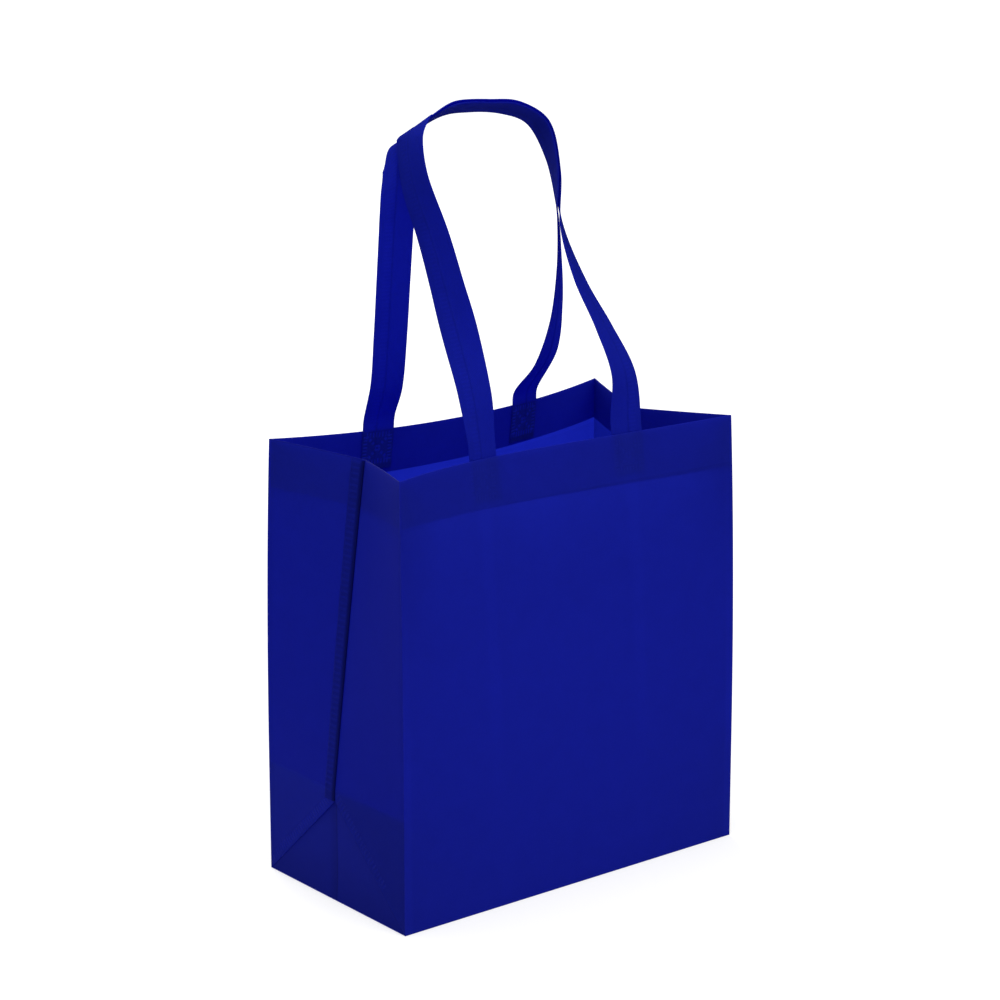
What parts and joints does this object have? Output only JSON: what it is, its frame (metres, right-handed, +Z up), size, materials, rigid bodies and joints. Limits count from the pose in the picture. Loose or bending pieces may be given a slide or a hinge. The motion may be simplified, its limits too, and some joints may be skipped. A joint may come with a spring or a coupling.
{
  "type": "laminated non-woven bag",
  "caption": "Open-topped box bag folded and welded from one blue laminated sheet, with tape handles welded inside a turned-in hem and drawn up over the mouth",
  "frame": {"origin": "centre of the bounding box in plan, on the plane the base stands on", "axes": "+Z up out of the mouth, +X to the right along the front, +Y from the front panel to the back panel"},
  "size_m": [0.332, 0.175, 0.604],
  "materials": {
    "sheet": "matte film over fine spunbond fabric, royal blue",
    "tape": "soft unlaminated spunbond fabric, royal blue"
  },
  "bodies": {
    "root": {"bag_body": "sheet", "front_handle": "tape", "back_handle": "tape"}
  },
  "joints": []
}
